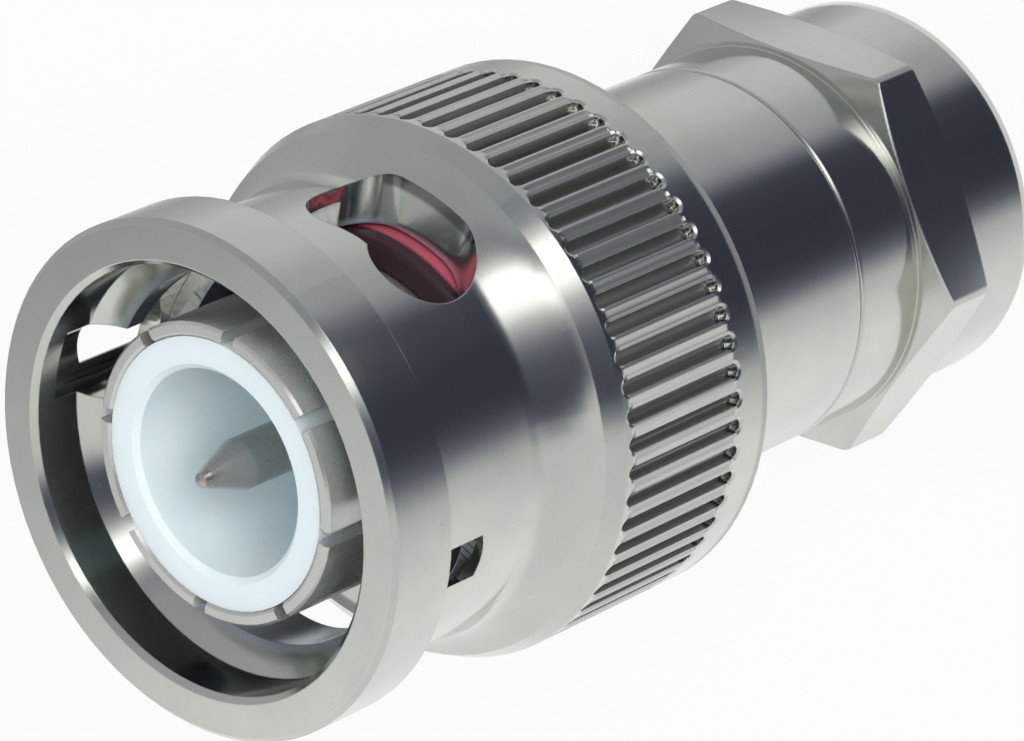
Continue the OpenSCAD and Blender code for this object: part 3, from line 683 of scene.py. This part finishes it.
gasket_outline = refined(eased_outline([
    (GASKET_OUTER, GASKET_REAR, 0.20), (GASKET_OUTER, GASKET_FRONT, 0.24),
    (GASKET_INNER, GASKET_FRONT, 0.20), (GASKET_INNER, GASKET_REAR, 0.16)]), GASKET_STEP)
share = (gasket_outline[:, 1:] - GASKET_FRONT) / (GASKET_REAR - GASKET_FRONT)
on_outer_wall = gasket_outline[:, :1] > (GASKET_INNER + GASKET_OUTER) / 2
gasket_angles = angles_round(192)
bulge = GASKET_BULGE * np.sin(np.pi * share) * on_outer_wall
gasket_radius = np.repeat(gasket_outline[:, :1] + bulge, len(gasket_angles), axis=1)
mating_gasket = closed_surface(
    "moulded_gasket", gasket_radius, LENGTH - gasket_outline[:, 1:], gasket_angles)
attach(mating_gasket, "plug")
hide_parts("mating_gasket")
mating_gasket.data.materials.append(finishes["red_silicone"])

# %% [markdown]
# ## Wave washers
# Two strips of spring steel, each bent into three waves round the axis and set crest to crest, push
# the sleeve back. Each is a flat ring whose height swings by cos(3 x angle). A sleeve that is
# drawn forward squeezes them between the body's flange and the thrust washer and flattens them;
# the surfaces here keep their full waves and do not follow the sleeve.

# %% Wave washers
WAVE_INNER, WAVE_OUTER, WAVE_THICKNESS = 5.45, 6.10, 0.25
WAVES, WAVE_SWING, WAVE_EDGE, WAVE_STEP = 3, 0.425, 0.05, 0.12
WAVE_WASHERS = (("front_wave_washer", 10.16, 0), ("rear_wave_washer", 11.29, np.pi))

wave_outline = refined(eased_outline([
    (WAVE_OUTER, WAVE_THICKNESS / 2, WAVE_EDGE), (WAVE_OUTER, -WAVE_THICKNESS / 2, WAVE_EDGE),
    (WAVE_INNER, -WAVE_THICKNESS / 2, WAVE_EDGE), (WAVE_INNER, WAVE_THICKNESS / 2, WAVE_EDGE)]),
    WAVE_STEP)
wave_angles = angles_round(144)
for name, middle, phase in WAVE_WASHERS:
    wave = WAVE_SWING * np.cos(WAVES * wave_angles + phase)
    wave_washer = closed_surface(
        name, np.repeat(wave_outline[:, :1], len(wave_angles), axis=1),
        LENGTH - middle - wave_outline[:, 1:] + wave, wave_angles)
    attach(wave_washer, "plug")
    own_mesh(wave_washer)
    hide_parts("wave_washers")
    wave_washer.data.materials.append(finishes["spring_steel"])

# %% [markdown]
# ## The finish of each CAD node
# The CAD record names one finish for every node, so a short loop hands them out. The nodes that
# the surfaces above stand in for get theirs too, because they are still in the frame, unseen.

# %% Each node takes the finish that the record names for it
for part in frame["record"]["subparts"]:
    slots = nodes[part["node"]].data.materials
    slots.clear()
    slots.append(finishes[part["material_slot"]])

# %% [markdown]
# ## The floor
# The plug stands on a wide pale floor. To the camera the floor is nearly white and keeps the soft
# shadow round the foot of the nut, because part of it is a lit surface and part shines by itself.
# Reflections and light through clear things get the same floor as the camera does.

# %% Floor
FLOOR_HALF = 1.5
FLOOR_OWN_LIGHT = 0.9


def staged(name, mesh, material):
    """A piece of the set: not part of the plug, with its mesh and one material."""
    mesh.materials.append(material)
    piece = bpy.data.objects.new(name, mesh)
    bpy.context.scene.collection.objects.link(piece)
    return piece


def looked_at(tree):
    """1 for rays that look (camera, glossy and transmission rays), 0 for rays that only light."""
    paths = add_node(tree, "ShaderNodeLightPath").outputs
    seen = calculate(tree, "MAXIMUM", paths["Is Camera Ray"], paths["Is Glossy Ray"])
    return calculate(tree, "MAXIMUM", seen, paths["Is Transmission Ray"])


def make_floor_material():
    """Pale floor: a lit matt surface mixed with its own light, by which ray looks at it."""
    material = bpy.data.materials.new("pale floor")
    material.use_nodes = True
    tree = material.node_tree
    tree.nodes.clear()
    matt = add_node(tree, "ShaderNodeBsdfDiffuse", {"Color": (0.80, 0.80, 0.80, 1)}).outputs[0]
    own = add_node(tree, "ShaderNodeEmission", {"Color": (1, 1, 1, 1), "Strength": 1.0}).outputs[0]
    share = calculate(tree, "MULTIPLY", looked_at(tree), FLOOR_OWN_LIGHT)
    mixed = add_node(tree, "ShaderNodeMixShader", {0: share, 1: matt, 2: own}).outputs[0]
    add_node(tree, "ShaderNodeOutputMaterial", {"Surface": mixed})
    return material


floor_mesh = bpy.data.meshes.new("floor")
floor_mesh.from_pydata([(x * FLOOR_HALF, y * FLOOR_HALF, 0) for x, y in
                        ((-1, -1), (1, -1), (1, 1), (-1, 1))], [], [(0, 1, 2, 3)])
staged("floor", floor_mesh, make_floor_material())

# %% [markdown]
# ## A tent for the metal to reflect
# Bright metal has hardly any look of its own: it shows what is round it, and in an all-white room
# it looks like white plastic. So a photographer of turned parts puts them in a small tent, with a
# dark panel in front, a bright strip beside it, and greys that fade round the sides. Every cylinder
# then shows one dark band with a crisp edge, and every cone shows a spark where it faces the strip.
# The tent here is a turned surface, a floor disc with a wall and a roof, which shines in tones that
# depend on the direction from the plug's axis. It stays where it is when the camera moves. Only
# reflections see it: the camera looks through it, and it lights nothing matt and casts no shadow.

# %% Light tent
TENT_BRIGHTEST = 2.4
TENT_FRONT = math.radians(-23.70)
TENT_OUTLINE = np.array([(5.45, 0.2), (52, 0.2), (60, 8), (60, 125), (40, 150), (0.5, 160)])
TENT_COLUMNS = 96
DISC_END, WALL_START, WALL_TOP, ROOF_START = 38.0, 52.0, 125.0, 150.0
ROOF_TONE = 0.62
DISC_TONES = [(-180, 0.85), (-150, 0.99), (-98, 0.99), (-81, 0.94), (-65, 0.83), (-49, 0.62),
              (-41, 0.33), (-36, 0.17), (-31, 0.11), (-25, 0.065), (-16, 0.052), (0, 0.05),
              (17, 0.058), (27, 0.072), (32, 0.12), (38, 0.25), (43, 0.38), (50, 0.46), (65, 0.54),
              (81, 0.67), (98, 0.72), (114, 0.72), (128, 0.56), (146, 0.42), (162, 0.50),
              (172, 0.75), (180, 0.85)]
WALL_TONES = [(-180, 0.68), (-170, 0.95), (-150, 0.92), (-100, 0.88), (-65, 0.80), (-46, 0.76),
              (-41, 0.62), (-36, 0.30), (-30, 0.10), (-24, 0.085), (-11, 0.12), (-5, 0.20),
              (0, 0.37), (6, 0.70), (12, 1.6), (20, 2.3), (27, 1.7), (31, 0.85), (36, 0.40),
              (42, 0.31), (54, 0.41), (92, 0.46), (103, 0.46), (134, 0.50), (160, 0.42),
              (170, 0.44), (180, 0.68)]


def tone_ramp(tree, turn, tones):
    """Colour at a turn from the tent's front, between stops (degrees, tone). Dark tones are bluish:
    red = tone (1 - 0.1 cast) and blue = tone (1 + 0.6 cast), where the cast is (1 - tone)^4."""
    ramp = add_node(tree, "ShaderNodeValToRGB", {0: rescale(tree, turn, -180, 180, 0, 1)})
    stops = ramp.color_ramp.elements
    while len(stops) < len(tones):
        stops.new(0.5)
    for stop, (degrees, tone) in zip(stops, tones):
        cast = max(0.0, 1 - tone) ** 4
        stop.position = degrees / 360 + 0.5
        stop.color = (*(tone * tint / TENT_BRIGHTEST for tint in
                        (1 - 0.1 * cast, 1, 1 + 0.6 * cast)), 1)
    return ramp.outputs["Color"]


def make_tent_material():
    """Tone by direction. A ray that leaves a cylinder of radius r, turned u from the tent's front,
    meets the disc at radius R turned about u (1 - r / 2R), so the turn of a place on the disc is
    divided by that share. The share fades to 1 where the disc's tones give way to the wall's."""
    material = bpy.data.materials.new("light tent")
    material.use_nodes = True
    tree = material.node_tree
    tree.nodes.clear()
    radius, height, point = axis_coordinates(tree)
    faced = add_node(tree, "ShaderNodeVectorRotate", {
        "Vector": point, "Angle": -TENT_FRONT}, rotation_type="Z_AXIS").outputs[0]
    parts = add_node(tree, "ShaderNodeSeparateXYZ", {0: faced}).outputs
    turn = calculate(tree, "DEGREES", calculate(tree, "ARCTAN2", parts[1], parts[0]))
    half_radius = rescale(tree, radius, DISC_END, WALL_START, BODY_RADIUS / 2, 0.0)
    share = calculate(tree, "SUBTRACT", 1.0, calculate(tree, "DIVIDE", half_radius, radius))
    turn = calculate(tree, "DIVIDE", turn, share)
    on_wall = rescale(tree, radius, DISC_END, WALL_START, 0.0, 1.0)
    sides = blend_colours(tree, on_wall, tone_ramp(tree, turn, DISC_TONES),
                          tone_ramp(tree, turn, WALL_TONES))
    in_roof = rescale(tree, height, WALL_TOP, ROOF_START, 0.0, 1.0)
    colour = blend_colours(tree, in_roof, sides, (*[ROOF_TONE / TENT_BRIGHTEST] * 3, 1))
    shine = add_node(tree, "ShaderNodeEmission", {"Color": colour, "Strength": TENT_BRIGHTEST})
    add_node(tree, "ShaderNodeOutputMaterial", {"Surface": shine.outputs[0]})
    return material


tent_angles = angles_round(TENT_COLUMNS)
tent_radius, tent_height = TENT_OUTLINE[:, :1], TENT_OUTLINE[:, 1:]
tent_points = np.stack([tent_radius * np.cos(tent_angles), tent_radius * np.sin(tent_angles),
                        np.repeat(tent_height, TENT_COLUMNS, axis=1)], axis=-1).reshape(-1, 3) * MM
row, column = np.indices((len(TENT_OUTLINE) - 1, TENT_COLUMNS))
beside = (column + 1) % TENT_COLUMNS
lower, upper = row * TENT_COLUMNS, (row + 1) * TENT_COLUMNS
tent_faces = np.stack([lower + column, lower + beside, upper + beside, upper + column], axis=-1)
tent_mesh = bpy.data.meshes.new("light_tent")
tent_mesh.from_pydata(tent_points.tolist(), [], tent_faces.reshape(-1, 4).tolist())
tent = staged("light_tent", tent_mesh, make_tent_material())
for ray in ("camera", "diffuse", "transmission", "volume_scatter", "shadow"):
    setattr(tent, "visible_" + ray, False)

# %% [markdown]
# ## Light
# A pale sky gives most of the light on the matt parts, greyer near the horizon than overhead. Three
# soft lamps add direction. The metal shows the tent, so the lamps stay out of its reflections.

# %% Sky
HORIZON, OVERHEAD = (0.46, 0.47, 0.48, 1), (0.66, 0.67, 0.68, 1)

world = bpy.data.worlds.new("studio")
bpy.context.scene.world = world
world.use_nodes = True
sky_tree = world.node_tree
sky_tree.nodes.clear()
sky_direction = add_node(sky_tree, "ShaderNodeTexCoord").outputs["Generated"]
sky_height = add_node(sky_tree, "ShaderNodeSeparateXYZ", {0: sky_direction}).outputs[2]
sky_tone = rescale(sky_tree, sky_height, 0.0, 0.9, 0.0, 1.0)
sky_colour = blend_colours(sky_tree, sky_tone, HORIZON, OVERHEAD)
sky_seen = blend_colours(sky_tree, looked_at(sky_tree), sky_colour, (1, 1, 1, 1))
sky = add_node(sky_tree, "ShaderNodeBackground", {"Color": sky_seen, "Strength": 1.0}).outputs[0]
add_node(sky_tree, "ShaderNodeOutputWorld", {"Surface": sky})

# %% Lamps
PLUG_MIDDLE = Vector((0, 0, 15 * MM))


def soft_lamp(name, azimuth, elevation, distance, width, height, watts):
    """A rectangular lamp that faces the plug from a direction in degrees and a distance in metres,
    with its width and height in metres too. Reflections show the tent and not the lamp."""
    lamp = bpy.data.lights.new(name, "AREA")
    lamp.shape = "RECTANGLE"
    lamp.size, lamp.size_y, lamp.energy = width, height, watts
    holder = bpy.data.objects.new(name, lamp)
    direction = towards(math.radians(azimuth), math.radians(elevation))
    holder.matrix_world = (Matrix.Translation(direction * distance + PLUG_MIDDLE)
                           @ turned_to(direction))
    holder.visible_glossy = False
    bpy.context.scene.collection.objects.link(holder)


soft_lamp("front_lamp", -24, 30, 0.30, 0.16, 0.16, 0.48)
soft_lamp("top_lamp", -5, 60, 0.40, 0.22, 0.14, 0.10)
soft_lamp("side_lamp", 110, 45, 0.45, 0.30, 0.20, 0.15)
